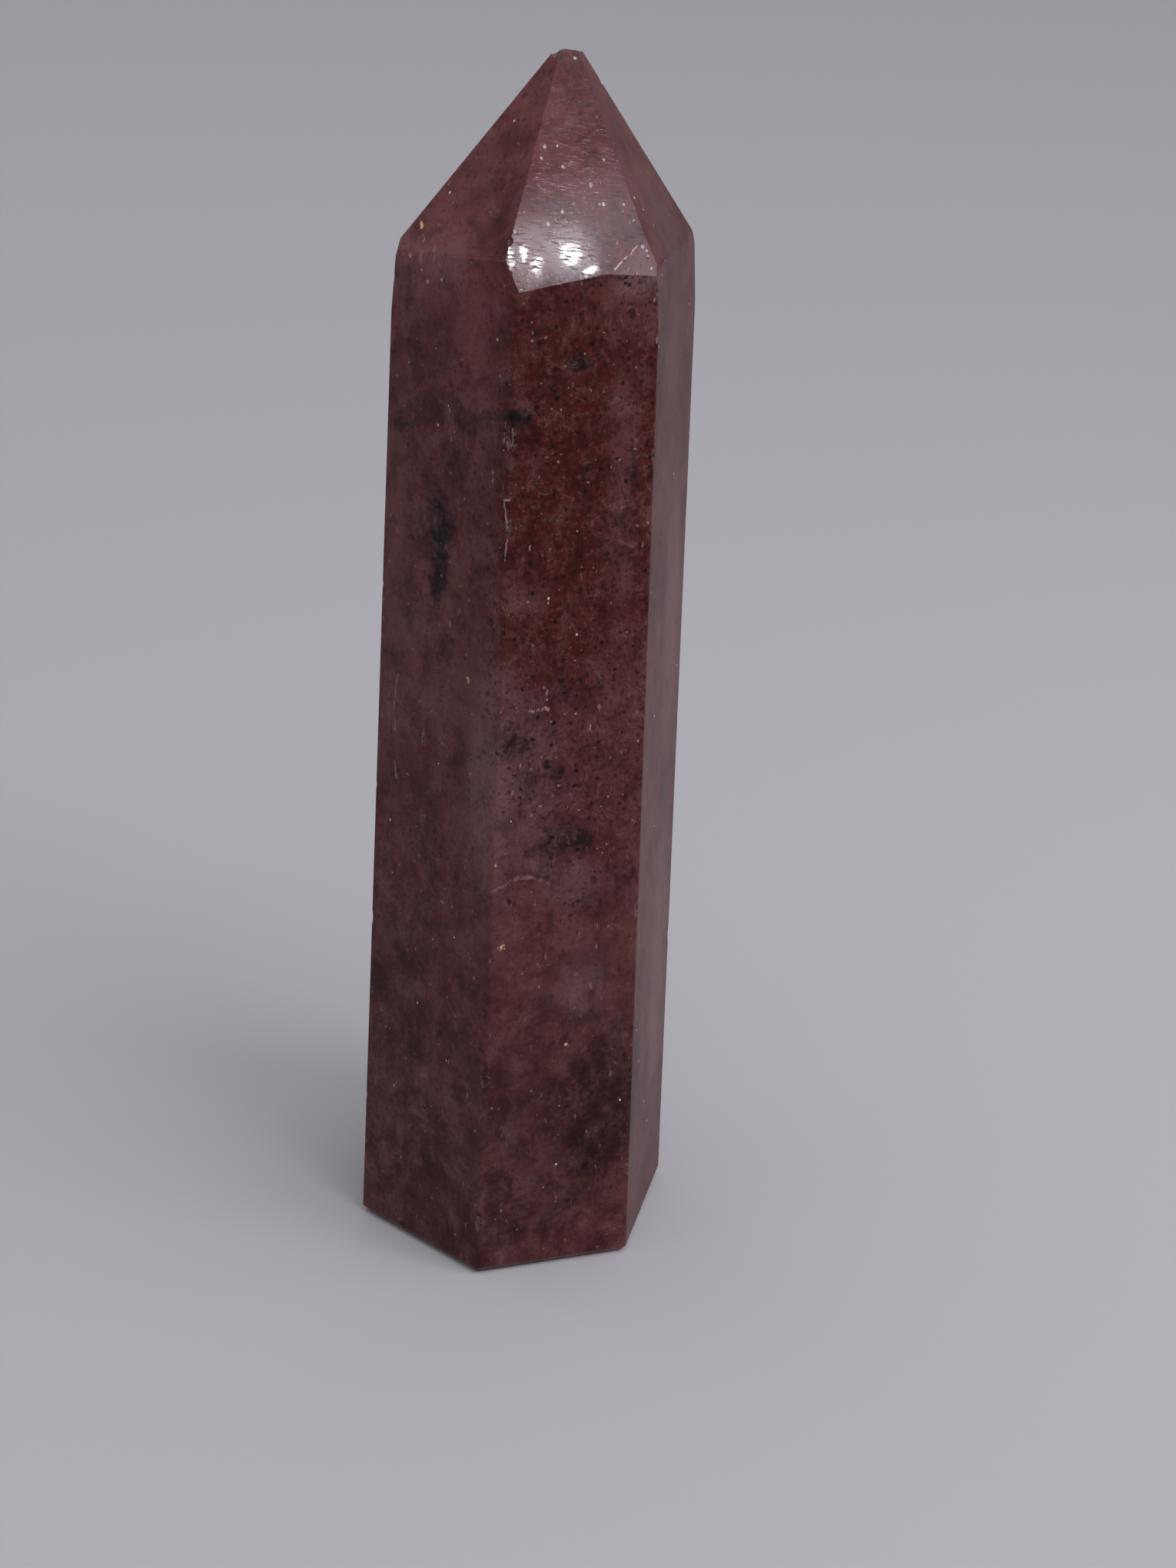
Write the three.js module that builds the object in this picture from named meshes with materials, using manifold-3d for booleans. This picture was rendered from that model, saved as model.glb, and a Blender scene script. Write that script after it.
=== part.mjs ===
// A cut and polished six-sided point of strawberry quartz, standing on its sawn foot.
// Millimetres and degrees. +Z is up, the front of the stone looks along -Y and +X is its right.
// The origin is on the flat foot, where the axis of the six sides comes out of the stone.

import * as THREE from 'three';
import { mergeVertices } from 'three/addons/utils/BufferGeometryUtils.js';
import Module from 'manifold-3d';

const wasm = await Module();
wasm.setup();

// Driving dimensions

const stoneHeight = 100; // foot to blunt tip, as the stone is sold
const blankRadius = 16; // the rough rod that the faces are ground from
const blankSides = 24;
const grinderSize = 3 * stoneHeight; // a grinding wheel's flat, wider than any face

// The six sides of the prism, going round to the right from the hidden left.
// turn: the way a side looks, counted from the front towards +X
// reach: its distance from the axis at the foot
// draft: how far it leans in on the way up
// rollIn: how much further its top end was rounded in by the polishing
const sides = {
  backLeft: { turn: -102.1, reach: 12.1, draft: 1.7, rollIn: 2.5 },
  frontLeft: { turn: -41.4, reach: 12.0, draft: 1.2, rollIn: 2.2 },
  front: { turn: 18.6, reach: 12.2, draft: 0.2, rollIn: 0 },
  frontRight: { turn: 77.4, reach: 12.05, draft: 0.45, rollIn: 2.8 },
  backRight: { turn: 137.9, reach: 12.1, draft: -0.1, rollIn: 2.5 },
  back: { turn: -161.9, reach: 12.1, draft: 1.0, rollIn: 2.0 },
};
const rollHeight = 80.5; // where the sides start to roll in

// The six facets of the point, one over each side and none quite square to it.
// slope: steepness from level
// shoulder: the height where it meets the middle line of its side
const facets = {
  backLeft: { turn: -103.4, slope: 52.9, shoulder: 85.3 },
  frontLeft: { turn: -44.1, slope: 56.5, shoulder: 85.1 },
  front: { turn: 12.4, slope: 58.3, shoulder: 84.6 },
  frontRight: { turn: 76.5, slope: 61.0, shoulder: 85.2 },
  backRight: { turn: 138.6, slope: 54.3, shoulder: 85.0 },
  back: { turn: -160.0, slope: 56.8, shoulder: 83.2 },
};

// A small extra facet takes off the corner over the front and front right sides.
const corner = { turn: 20, slope: 66.8, at: [9.5, -9.35, 84.75] };

// The tip is blunt: a little break that falls away to the right, with a bite out of its left.
const tipBreak = { turn: 140, slope: 8, at: [2.0, -1.9, stoneHeight] };
const tipBite = { at: [1.38, -1.7, 100.35], radius: 0.7, stretch: 1.8 };

// The foot has a narrow ground edge all round.
const footEdge = { height: 0.7, slope: 52 };

// Flakes knocked off the long edges, named by the two sides that meet there.
// z: height of the middle, length: along the edge, depth: below the sharp edge
const edgeFlakes = [
  { edge: ['frontLeft', 'front'], z: 73.0, length: 2.4, depth: 0.3 },
  { edge: ['frontLeft', 'front'], z: 66.6, length: 3.4, depth: 0.16 },
  { edge: ['frontLeft', 'front'], z: 60.2, length: 1.4, depth: 0.22 },
  { edge: ['frontLeft', 'front'], z: 19.3, length: 2.2, depth: 0.34 },
  { edge: ['frontLeft', 'front'], z: 5.2, length: 1.6, depth: 0.25 },
  { edge: ['front', 'frontRight'], z: 71.3, length: 1.3, depth: 0.14 },
  { edge: ['front', 'frontRight'], z: 33.0, length: 1.8, depth: 0.16 },
  { edge: ['frontRight', 'backRight'], z: 24.5, length: 1.7, depth: 0.22 },
  { edge: ['backRight', 'back'], z: 62.8, length: 2.6, depth: 0.3 },
  { edge: ['backRight', 'back'], z: 14.0, length: 1.5, depth: 0.24 },
  { edge: ['back', 'backLeft'], z: 47.5, length: 2.0, depth: 0.26 },
  { edge: ['backLeft', 'frontLeft'], z: 29.0, length: 1.5, depth: 0.18 },
];

// Slits that the polish left open, where a crack came out in a side.
// z: height of the middle, across: distance from the side's middle line, to the right
const slits = [
  { side: 'frontLeft', z: 81.3, across: -3.6, length: 1.3, width: 0.22, depth: 0.25 },
  { side: 'back', z: 38.0, across: 2.6, length: 2.0, width: 0.25, depth: 0.3 },
];

// How finely the hollows are faceted: rings of facets on each
const hollowDetail = { flake: 5, bite: 2, slit: 1 };
const weldDistance = 1e-4; // points of a closed surface that are nearer than this are one

const stoneColour = '#4a2c2d';
const stoneRoughness = 0.16;

// Closed geometry to solid and back

function solidOf(geometry) {
  geometry.deleteAttribute('normal');
  geometry.deleteAttribute('uv');
  const merged = mergeVertices(geometry, weldDistance);
  return new wasm.Manifold(new wasm.Mesh({
    numProp: 3,
    vertProperties: merged.attributes.position.array,
    triVerts: new Uint32Array(merged.index.array),
  }));
}

function geometryOf(solid) {
  const mesh = solid.getMesh();
  const geometry = new THREE.BufferGeometry();
  geometry.setAttribute('position', new THREE.BufferAttribute(mesh.vertProperties, 3));
  geometry.setIndex(new THREE.BufferAttribute(mesh.triVerts, 1));
  const flat = geometry.toNonIndexed();
  flat.computeVertexNormals();
  return flat;
}

// Planes of the stone

const degrees = THREE.MathUtils.degToRad;

function heading(turn) {
  return new THREE.Vector3(Math.sin(degrees(turn)), -Math.cos(degrees(turn)), 0);
}

function planeThrough(turn, slope, point) {
  const normal = heading(turn).multiplyScalar(Math.sin(degrees(slope)));
  normal.z = Math.cos(degrees(slope));
  return new THREE.Plane().setFromNormalAndCoplanarPoint(normal, point);
}

function sidePlane({ turn, reach, draft }) {
  return planeThrough(turn, 90 - draft, heading(turn).multiplyScalar(reach));
}

// The middle line of a side, at one height
function sidePoint({ turn, reach, draft }, z) {
  const point = heading(turn).multiplyScalar(reach - z * Math.tan(degrees(draft)));
  point.z = z;
  return point;
}

function rollPlane(side) {
  return planeThrough(side.turn, 90 - side.draft - side.rollIn, sidePoint(side, rollHeight));
}

function facetPlane(name) {
  const { turn, slope, shoulder } = facets[name];
  return planeThrough(turn, slope, sidePoint(sides[name], shoulder));
}

// The narrow edge of the foot looks out and down
function footPlane(side) {
  return planeThrough(side.turn, 180 - footEdge.slope, sidePoint(side, footEdge.height));
}

// The point of the edge between two sides, at one height
function edgePoint([first, second], z) {
  const a = sidePlane(sides[first]);
  const b = sidePlane(sides[second]);
  const level = new THREE.Vector3(0, 0, 1);
  const along = new THREE.Vector3().crossVectors(b.normal, level).multiplyScalar(-a.constant);
  along.add(new THREE.Vector3().crossVectors(level, a.normal).multiplyScalar(-b.constant));
  along.add(new THREE.Vector3().crossVectors(a.normal, b.normal).multiplyScalar(z));
  return along.divideScalar(a.normal.dot(new THREE.Vector3().crossVectors(b.normal, level)));
}

// Cutting

function grindFlat(stone, plane) {
  const wheel = new THREE.BoxGeometry(grinderSize, grinderSize, grinderSize);
  wheel.translate(0, 0, grinderSize / 2);
  wheel.applyQuaternion(
    new THREE.Quaternion().setFromUnitVectors(new THREE.Vector3(0, 0, 1), plane.normal));
  const nearest = plane.normal.clone().multiplyScalar(-plane.constant);
  wheel.translate(nearest.x, nearest.y, nearest.z);
  return stone.subtract(solidOf(wheel));
}

function roughRod() {
  const rod = new THREE.CylinderGeometry(blankRadius, blankRadius, stoneHeight, blankSides);
  rod.rotateX(Math.PI / 2);
  rod.translate(0, 0, stoneHeight / 2);
  return solidOf(rod);
}

// A round hollow across an edge, centred outside the stone so that only its cap bites
function knockFlake(stone, { edge, z, length, depth }) {
  const radius = (length / 2) ** 2 / (2 * depth) + depth / 2;
  const [first, second] = edge.map((name) => sidePlane(sides[name]).normal);
  const outward = first.clone().add(second).normalize();
  const centre = edgePoint(edge, z).addScaledVector(outward, radius - depth);
  const ball = new THREE.IcosahedronGeometry(radius, hollowDetail.flake);
  ball.rotateY(degrees(z)); // no two flakes with the same grain
  ball.translate(centre.x, centre.y, centre.z);
  return stone.subtract(solidOf(ball));
}

function openSlit(stone, { side, z, across, length, width, depth }) {
  const lens = new THREE.OctahedronGeometry(1, hollowDetail.slit);
  lens.scale(width / 2, depth, length / 2);
  lens.rotateZ(degrees(sides[side].turn));
  const right = heading(sides[side].turn + 90);
  const middle = sidePoint(sides[side], z).addScaledVector(right, across);
  lens.translate(middle.x, middle.y, middle.z);
  return stone.subtract(solidOf(lens));
}

function biteTip(stone) {
  const ball = new THREE.IcosahedronGeometry(tipBite.radius, hollowDetail.bite);
  ball.scale(1, tipBite.stretch, 1);
  ball.translate(...tipBite.at);
  return stone.subtract(solidOf(ball));
}

function quartzPoint() {
  let stone = roughRod();
  for (const [name, side] of Object.entries(sides)) {
    stone = grindFlat(stone, sidePlane(side));
    if (side.rollIn > 0) stone = grindFlat(stone, rollPlane(side));
    stone = grindFlat(stone, facetPlane(name));
    stone = grindFlat(stone, footPlane(side));
  }
  stone = grindFlat(stone, planeThrough(corner.turn, corner.slope, new THREE.Vector3(...corner.at)));
  stone = grindFlat(stone, planeThrough(tipBreak.turn, tipBreak.slope, new THREE.Vector3(...tipBreak.at)));
  stone = biteTip(stone);
  stone = edgeFlakes.reduce(knockFlake, stone);
  stone = slits.reduce(openSlit, stone);

  const polished = new THREE.MeshStandardMaterial({
    color: stoneColour,
    roughness: stoneRoughness,
    metalness: 0,
  });
  const mesh = new THREE.Mesh(geometryOf(stone), polished);
  mesh.name = 'quartz_point';
  return mesh;
}

const strawberryQuartzPoint = new THREE.Group();
strawberryQuartzPoint.add(quartzPoint());

export default strawberryQuartzPoint;
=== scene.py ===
import math
import random

import bmesh
import bpy
from mathutils import Matrix, Vector, noise
from mathutils.bvhtree import BVHTree


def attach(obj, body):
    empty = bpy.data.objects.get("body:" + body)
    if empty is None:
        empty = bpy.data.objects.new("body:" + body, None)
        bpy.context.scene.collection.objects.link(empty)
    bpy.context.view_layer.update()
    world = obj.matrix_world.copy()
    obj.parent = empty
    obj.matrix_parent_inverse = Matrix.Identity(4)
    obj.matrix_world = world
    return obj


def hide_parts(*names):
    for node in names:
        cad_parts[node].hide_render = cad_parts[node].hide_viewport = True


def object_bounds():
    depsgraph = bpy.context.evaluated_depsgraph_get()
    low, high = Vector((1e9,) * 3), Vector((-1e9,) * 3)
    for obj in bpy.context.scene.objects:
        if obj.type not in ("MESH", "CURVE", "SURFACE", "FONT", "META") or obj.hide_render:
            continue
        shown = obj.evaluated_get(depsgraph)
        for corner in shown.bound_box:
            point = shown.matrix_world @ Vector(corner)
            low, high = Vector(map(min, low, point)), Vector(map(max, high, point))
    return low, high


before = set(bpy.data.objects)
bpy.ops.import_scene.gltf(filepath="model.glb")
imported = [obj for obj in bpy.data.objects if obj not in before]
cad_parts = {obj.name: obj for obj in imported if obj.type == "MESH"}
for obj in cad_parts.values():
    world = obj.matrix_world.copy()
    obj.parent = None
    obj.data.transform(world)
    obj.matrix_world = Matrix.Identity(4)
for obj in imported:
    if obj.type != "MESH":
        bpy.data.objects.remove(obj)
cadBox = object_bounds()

mm = 0.001
dice = random.Random(7)


# the stone's shape, in millimetres until it is finished

stone = {
    "name": "quartzPoint",
    # how far the polish went over each kind of edge, to either side
    "edgeWidth": {
        "long": 0.12, "front": 0.24, "ridge": 0.06, "shoulder": 0.36, "crisp": 0.07, "foot": 0.12,
    },
    "edgeSteps": 4,
    "longEdgeRise": 50,     # an edge that rises more than this is one of the long ones
    "softEdgeReach": 12,    # degrees around the front left edge that are rolled over wider
    "crispTurns": (-15, 50),    # where the shoulder stayed crisp, in degrees from the front
    "level": 0.2,           # a face that rises less than this is a side
    "creaseAngle": 6,       # degrees: flatter creases are only shaded round
    "creaseBand": 2.2,      # what the shading of such a crease takes of each face
    "rough": 400,           # the block that it is ground from
    "grit": 0.0001,
    "smallestFace": 0.1,    # square mm
    "planeSlack": 0.003,
    "samePlane": (0.9997, 0.01),    # how alike two faces of one plane are: cosine, distance
    "merge": 0.001,
}

# the long edges, by the way they look: degrees from the front towards +X
longEdges = {
    "frontLeft": -11,
    "frontRight": 48,
    "right": 108,
    "backRight": 168,
    "backLeft": -132,
    "left": -72,
}


def objectOf(shape, name):
    mesh = bpy.data.meshes.new(name)
    shape.to_mesh(mesh)
    shape.free()
    piece = bpy.data.objects.new(name, mesh)
    bpy.context.scene.collection.objects.link(piece)
    return piece


def bakeModifiers(piece):
    view = bpy.context.evaluated_depsgraph_get()
    mesh = bpy.data.meshes.new_from_object(piece.evaluated_get(view))
    piece.modifiers.clear()
    piece.data = mesh


def groundFaces(mesh):
    # the planes that the stone was ground to: outward normal, distance and area of each
    planes = []
    cosine, distance = stone["samePlane"]
    for face in sorted(mesh.polygons, key=lambda f: -f.area):
        normal, middle, area = face.normal.copy(), face.center / mm, face.area / mm ** 2
        for plane in planes:
            away = abs(plane["normal"].dot(middle) - plane["reach"])
            if plane["normal"].dot(normal) > cosine and away < distance:
                plane["area"] += area
                break
        else:
            planes.append({"normal": normal, "reach": normal.dot(middle), "area": area})
    # the facets of a flake's hollow have stone outside them, and a ground face has none
    points = [v.co / mm for v in mesh.vertices]
    return [p for p in planes if p["area"] > stone["smallestFace"]
            and max(p["normal"].dot(point) for point in points) < p["reach"] + stone["planeSlack"]]


def grindFlat(shape, normal, reach):
    # takes off what stands beyond a plane, and closes the cut with one flat face
    parts = list(shape.verts) + list(shape.edges) + list(shape.faces)
    cut = bmesh.ops.bisect_plane(shape, geom=parts, dist=stone["grit"], plane_co=normal * reach,
                                 plane_no=normal, clear_outer=True)
    rim = [g for g in cut["geom_cut"] if isinstance(g, bmesh.types.BMEdge)]
    if len(rim) > 2:
        bmesh.ops.contextual_create(shape, geom=rim)


def bendOf(edge):
    return math.degrees(edge.calc_face_angle(0))


def turnOf(point):
    # the way to a point from the axis, in degrees from the front towards +X
    return math.degrees(math.atan2(point.x, -point.y))


def groundStone(planes):
    shape = bmesh.new()
    bmesh.ops.create_cube(shape, size=stone["rough"])
    for plane in planes:
        grindFlat(shape, plane["normal"], plane["reach"])
    print(f"stone: {len(planes)} planes, {len(shape.verts)} corners, {len(shape.faces)} faces")
    return shape


def edgeRuns(shape):
    # the long edges by name, and every sharp edge, as pairs of points
    named, sharp = {}, []
    for edge in shape.edges:
        if bendOf(edge) < stone["creaseAngle"]:
            continue
        ends = sorted((v.co.copy() for v in edge.verts), key=lambda co: co.z)
        sharp.append(ends)
        if ends[1].z - ends[0].z > stone["longEdgeRise"]:
            turn = turnOf((ends[0] + ends[1]) / 2)
            name = min(longEdges, key=lambda n: abs((turn - longEdges[n] + 180) % 360 - 180))
            named[name] = ends
    return named, sharp


def edgeKind(edge):
    # long: up the sides, front: the soft one left of the front side, ridge: up the point,
    # shoulder: between side and point, crisp: the shoulder of the front facets,
    # foot: around the foot
    low, high = sorted(f.normal.z for f in edge.link_faces)
    turn = turnOf((edge.verts[0].co + edge.verts[1].co) / 2)
    level, (left, right) = stone["level"], stone["crispTurns"]
    if low < -level:
        return "foot"
    if high < level:
        return "front" if abs(turn - longEdges["frontLeft"]) < stone["softEdgeReach"] else "long"
    if low < level:
        return "crisp" if left < turn < right else "shoulder"
    return "ridge"


def roundEdges(shape):
    # each edge is rolled over by a few narrow flats, all of them tangent to one round
    creases = [e for e in shape.edges if bendOf(e) < stone["creaseAngle"]]
    level = sum(v.co.z for e in creases for v in e.verts) / (2 * len(creases))
    flats = []
    for edge in shape.edges:
        if bendOf(edge) < stone["creaseAngle"]:
            continue
        first, second = (face.normal.copy() for face in edge.link_faces)
        radius = stone["edgeWidth"][edgeKind(edge)] / math.tan(first.angle(second) / 2)
        axis = edge.verts[0].co - radius * (first + second) / (1 + first.dot(second))
        for step in range(stone["edgeSteps"]):
            normal = first.slerp(second, (step + 0.5) / stone["edgeSteps"])
            flats.append((normal, normal.dot(axis) + radius))
    flats.append((Vector((0, 0, 1)), cadBox[1][2] / mm))    # nothing stands above the CAD stone
    for normal, reach in flats:
        grindFlat(shape, normal, reach)
    for height in (level - stone["creaseBand"], level + stone["creaseBand"]):
        parts = list(shape.verts) + list(shape.edges) + list(shape.faces)
        bmesh.ops.bisect_plane(shape, geom=parts, plane_co=(0, 0, height), plane_no=(0, 0, 1))
    bmesh.ops.remove_doubles(shape, verts=shape.verts, dist=stone["merge"])
    bmesh.ops.recalc_face_normals(shape, faces=shape.faces)
    for face in shape.faces:
        face.material_index = 0


# what was knocked, bitten and worn out of the polished faces

damage = {
    "lumps": 0.16,          # unevenness of a hollow, as a share of its size
    "lumpCount": 1.6,
    "lumpOctaves": 3,
    "overlap": 0.577,       # half the width of a hollow's ball that gives the stated width
    "flakeFineness": 5,
    "nickFineness": 3,
    "pitFineness": 2,
    "flakeWidth": 0.7,      # shares of the length
    "nickWidth": 0.8,
    "pitWidth": (0.6, 1),
    "pitDepth": 0.3,
    "standOff": 40,         # from here, outside the stone, its skin is looked for
    "heartHeight": 80,      # the middle that the point's facets look away from
    # the flakes of the CAD solid: long edge, height, length, depth
    "flakes": [
        ("frontLeft", 73.0, 2.4, 0.3), ("frontLeft", 66.6, 3.4, 0.16),
        ("frontLeft", 60.2, 1.4, 0.22), ("frontLeft", 19.3, 2.2, 0.34),
        ("frontLeft", 5.2, 1.6, 0.25), ("frontRight", 71.3, 1.3, 0.14),
        ("frontRight", 33.0, 1.8, 0.16), ("right", 24.5, 1.7, 0.22),
        ("backRight", 62.8, 2.6, 0.3), ("backRight", 14.0, 1.5, 0.24),
        ("backLeft", 47.5, 2.0, 0.26), ("left", 29.0, 1.5, 0.18),
    ],
    # cracks open in a side: height, turn of the side, distance right of its middle,
    # length, width, depth
    "slits": [(81.3, -41.4, -3.6, 1.3, 0.24, 0.28), (38.0, -161.9, 2.6, 2.0, 0.25, 0.3)],
    # the break of the tip: middle, size
    "tipBites": [
        ((1.35, -1.4, 100.0), (1.07, 5.5, 0.65)), ((2.5, -1.2, 100.1), (0.9, 0.8, 0.35)),
    ],
    "nicksPerMm": 0.16,
    "nickLength": (0.25, 1.0),
    "nickDepth": (0.04, 0.13),
    "nickBias": 2.2,        # most of them are small
    "nickEnds": (0.03, 0.97),
    # pits in the front facet of the point: across and height
    "frontPits": [
        (0.7, 93.4), (1.6, 93.5), (0.5, 92.7), (2.1, 92.1), (5.1, 92.6), (4.2, 90.9), (4.9, 89.6),
        (5.2, 89.6), (2.2, 89.1), (2.5, 88.5), (1.8, 88.5), (1.2, 88.3), (6.7, 89.6), (7.5, 88.5),
        (7.2, 88.4), (-1.2, 87.8), (2.7, 99.4), (8.2, 86.8), (8.5, 86.5), (8.6, 86.1), (8.9, 85.3),
    ],
    "frontPitSize": (0.24, 0.38),
    "pits": 70,
    "pitSize": (0.1, 0.26),
    "pitHeights": (4, 98),
    "pitSpread": 6,         # how far from the middle of the stone, to either side
}


def addHollow(cutter, at, inward, along, size, fineness, surface=1):
    # a lumpy ball sunk so that it bites as deep, long and wide as size says
    length, width, depth = size
    overlap = damage["overlap"]
    across = inward.cross(along).normalized()
    along = across.cross(inward).normalized()
    turned = Matrix((along, across, inward)).transposed()
    grain = Vector((dice.uniform(-50, 50), dice.uniform(-50, 50), dice.uniform(-50, 50)))
    ball = bmesh.ops.create_icosphere(cutter, subdivisions=fineness, radius=1)["verts"]
    for face in {f for v in ball for f in v.link_faces}:
        face.material_index = surface
    for v in ball:
        lumps = noise.fractal(v.co * damage["lumpCount"] + grain, 1.0, 2.0, damage["lumpOctaves"])
        lump = 1 + damage["lumps"] * lumps
        reach = Vector((v.co.x * length * overlap, v.co.y * width * overlap, v.co.z * 2 * depth))
        v.co = at + turned @ (reach * lump) - inward * depth


def pointOn(run, height):
    share = (height - run[0].z) / (run[1].z - run[0].z)
    return run[0].lerp(run[1], share)


def outwardFrom(point):
    # away from the stone's axis, or from the middle of the point for what lies above the shoulder
    heart = Vector((0, 0, min(point.z, damage["heartHeight"])))
    return (point - heart).normalized()


def between(ends, share):
    return ends[0] + share * (ends[1] - ends[0])


def damageCutter(named, sharp):
    cutter = bmesh.new()
    upward = Vector((0, 0, 1))
    for edge, height, length, depth in damage["flakes"]:
        at = pointOn(named[edge], height)
        size = (length, length * damage["flakeWidth"], depth)
        addHollow(cutter, at, -outwardFrom(at), upward, size, damage["flakeFineness"])
    for at, size in damage["tipBites"]:
        addHollow(cutter, Vector(at), -upward, Vector((1, 0, 0)), size, damage["flakeFineness"])
    for run in sharp:
        length = (run[1] - run[0]).length
        count = int(length * damage["nicksPerMm"] + dice.random())
        for _ in range(count):
            at = run[0].lerp(run[1], dice.uniform(*damage["nickEnds"]))
            share = dice.random() ** damage["nickBias"]
            long, deep = between(damage["nickLength"], share), between(damage["nickDepth"], share)
            size = (long, long * damage["nickWidth"], deep)
            addHollow(cutter, at, -outwardFrom(at), run[1] - run[0], size, damage["nickFineness"])
    print(f"damage: {len(cutter.verts)} points of hollows")
    return cutter


def sunkIntoFaces(mesh):
    # slits and pits start on a face, found by looking in from outside
    upward = Vector((0, 0, 1))
    tree = BVHTree.FromPolygons([v.co for v in mesh.vertices], [p.vertices for p in mesh.polygons])
    cutter = bmesh.new()
    off = damage["standOff"]
    for height, turn, right, length, width, depth in damage["slits"]:
        look = -Vector((math.sin(math.radians(turn)), -math.cos(math.radians(turn)), 0))
        start = Vector((0, 0, height)) - look * off - Vector((-look.y, look.x, 0)) * right
        at, normal, _, _ = tree.ray_cast(start, look)
        size = (length, width, depth)
        addHollow(cutter, at, -normal, upward, size, damage["nickFineness"])
    spots = []
    for x, z in damage["frontPits"]:
        spots.append((Vector((x, -off, z)), Vector((0, 1, 0)), damage["frontPitSize"]))
    for _ in range(damage["pits"]):
        turn = dice.uniform(0, 2 * math.pi)
        look = Vector((-math.cos(turn), -math.sin(turn), 0))
        aside = dice.uniform(-damage["pitSpread"], damage["pitSpread"])
        side = Vector((look.y, -look.x, 0)) * aside
        height = Vector((0, 0, dice.uniform(*damage["pitHeights"])))
        spots.append((height - look * off + side, look, damage["pitSize"]))
    for start, look, sizes in spots:
        at, normal, _, _ = tree.ray_cast(start, look)
        if at is None:
            continue
        wide = dice.uniform(*sizes)
        size = (wide, wide * dice.uniform(*damage["pitWidth"]), wide * damage["pitDepth"])
        addHollow(cutter, at, -normal, upward, size, damage["pitFineness"], 2)
    return cutter


def carve(piece, cutterPieces):
    for cutterPiece in cutterPieces:
        cut = piece.modifiers.new("cut", "BOOLEAN")
        cut.operation = "DIFFERENCE"
        cut.solver = "EXACT"
        cut.use_self = True
        cut.object = cutterPiece
    bakeModifiers(piece)
    for cutterPiece in cutterPieces:
        bpy.data.objects.remove(cutterPiece)


def shadePolish(mesh, planes):
    # a ground face is shaded as the plane that it is, and the polish turns from one to the next
    shape = bmesh.new()
    shape.from_mesh(mesh)
    bmesh.ops.triangulate(shape, faces=shape.faces)
    bmesh.ops.remove_doubles(shape, verts=shape.verts, dist=stone["merge"])
    bmesh.ops.dissolve_degenerate(shape, edges=shape.edges, dist=stone["merge"])
    print(f"stone: {sum(not e.is_manifold for e in shape.edges)} open edges")
    shape.to_mesh(mesh)
    touching = {}
    for v in shape.verts:
        offs = [(p, abs(p["normal"].dot(v.co) - p["reach"])) for p in planes]
        touching[v.index] = [p for p, off in offs if off < stone["planeSlack"]]
    nearlyFlat = math.cos(math.radians(stone["creaseAngle"]))
    normals = []
    for face in shape.faces:
        face.smooth = True
        own = [p for p in planes if p["normal"].dot(face.normal) > 0.5
               and all(p in touching[v.index] for v in face.verts)]
        for loop in face.loops:
            around = touching[loop.vert.index]
            if face.material_index == 0 and own:
                kin = [p["normal"] for p in around
                       if p["normal"].dot(own[0]["normal"]) > nearlyFlat]
            elif face.material_index == 0 and around:
                kin = [p["normal"] for p in around]
            else:
                kin = [f.normal * f.calc_area() for f in loop.vert.link_faces
                       if f.material_index == face.material_index]
            normals.append(sum(kin, Vector()).normalized())
    shape.to_mesh(mesh)
    shape.free()
    mesh.normals_split_custom_set(normals)


def makeStone(polished, broken, pitted):
    planes = groundFaces(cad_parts["quartz_point"].data)
    shape = groundStone(planes)
    named, sharp = edgeRuns(shape)
    roundEdges(shape)
    piece = objectOf(shape, stone["name"])
    cutters = (damageCutter(named, sharp), sunkIntoFaces(piece.data))
    hollows = [objectOf(cutter, "hollows") for cutter in cutters]
    for carvedPiece in [piece] + hollows:
        for surface in (polished, broken, pitted):
            carvedPiece.data.materials.append(surface)
    carve(piece, hollows)

    shadePolish(piece.data, planes)
    piece.data.transform(Matrix.Scale(mm, 4))
    print(f"stone: {len(piece.data.polygons)} faces after the damage")
    return piece


# shader sums in plain Python

class Wire:
    # one output of a node, which can be added to, multiplied and compared
    def __init__(self, bench, socket):
        self.bench = bench
        self.socket = socket

    def other(self, name):
        return Wire(self.bench, self.socket.node.outputs[name])

    def __add__(self, value):
        return self.bench.math("ADD", self, value)

    def __radd__(self, value):
        return self.bench.math("ADD", value, self)

    def __sub__(self, value):
        return self.bench.math("SUBTRACT", self, value)

    def __rsub__(self, value):
        return self.bench.math("SUBTRACT", value, self)

    def __mul__(self, value):
        return self.bench.math("MULTIPLY", self, value)

    def __truediv__(self, value):
        return self.bench.math("DIVIDE", self, value)

    def __pow__(self, value):
        return self.bench.math("POWER", self, value)

    def __rpow__(self, value):
        return self.bench.math("POWER", value, self)

    def __lt__(self, value):
        return self.bench.math("LESS_THAN", self, value)

    def __gt__(self, value):
        return self.bench.math("GREATER_THAN", self, value)


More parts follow.
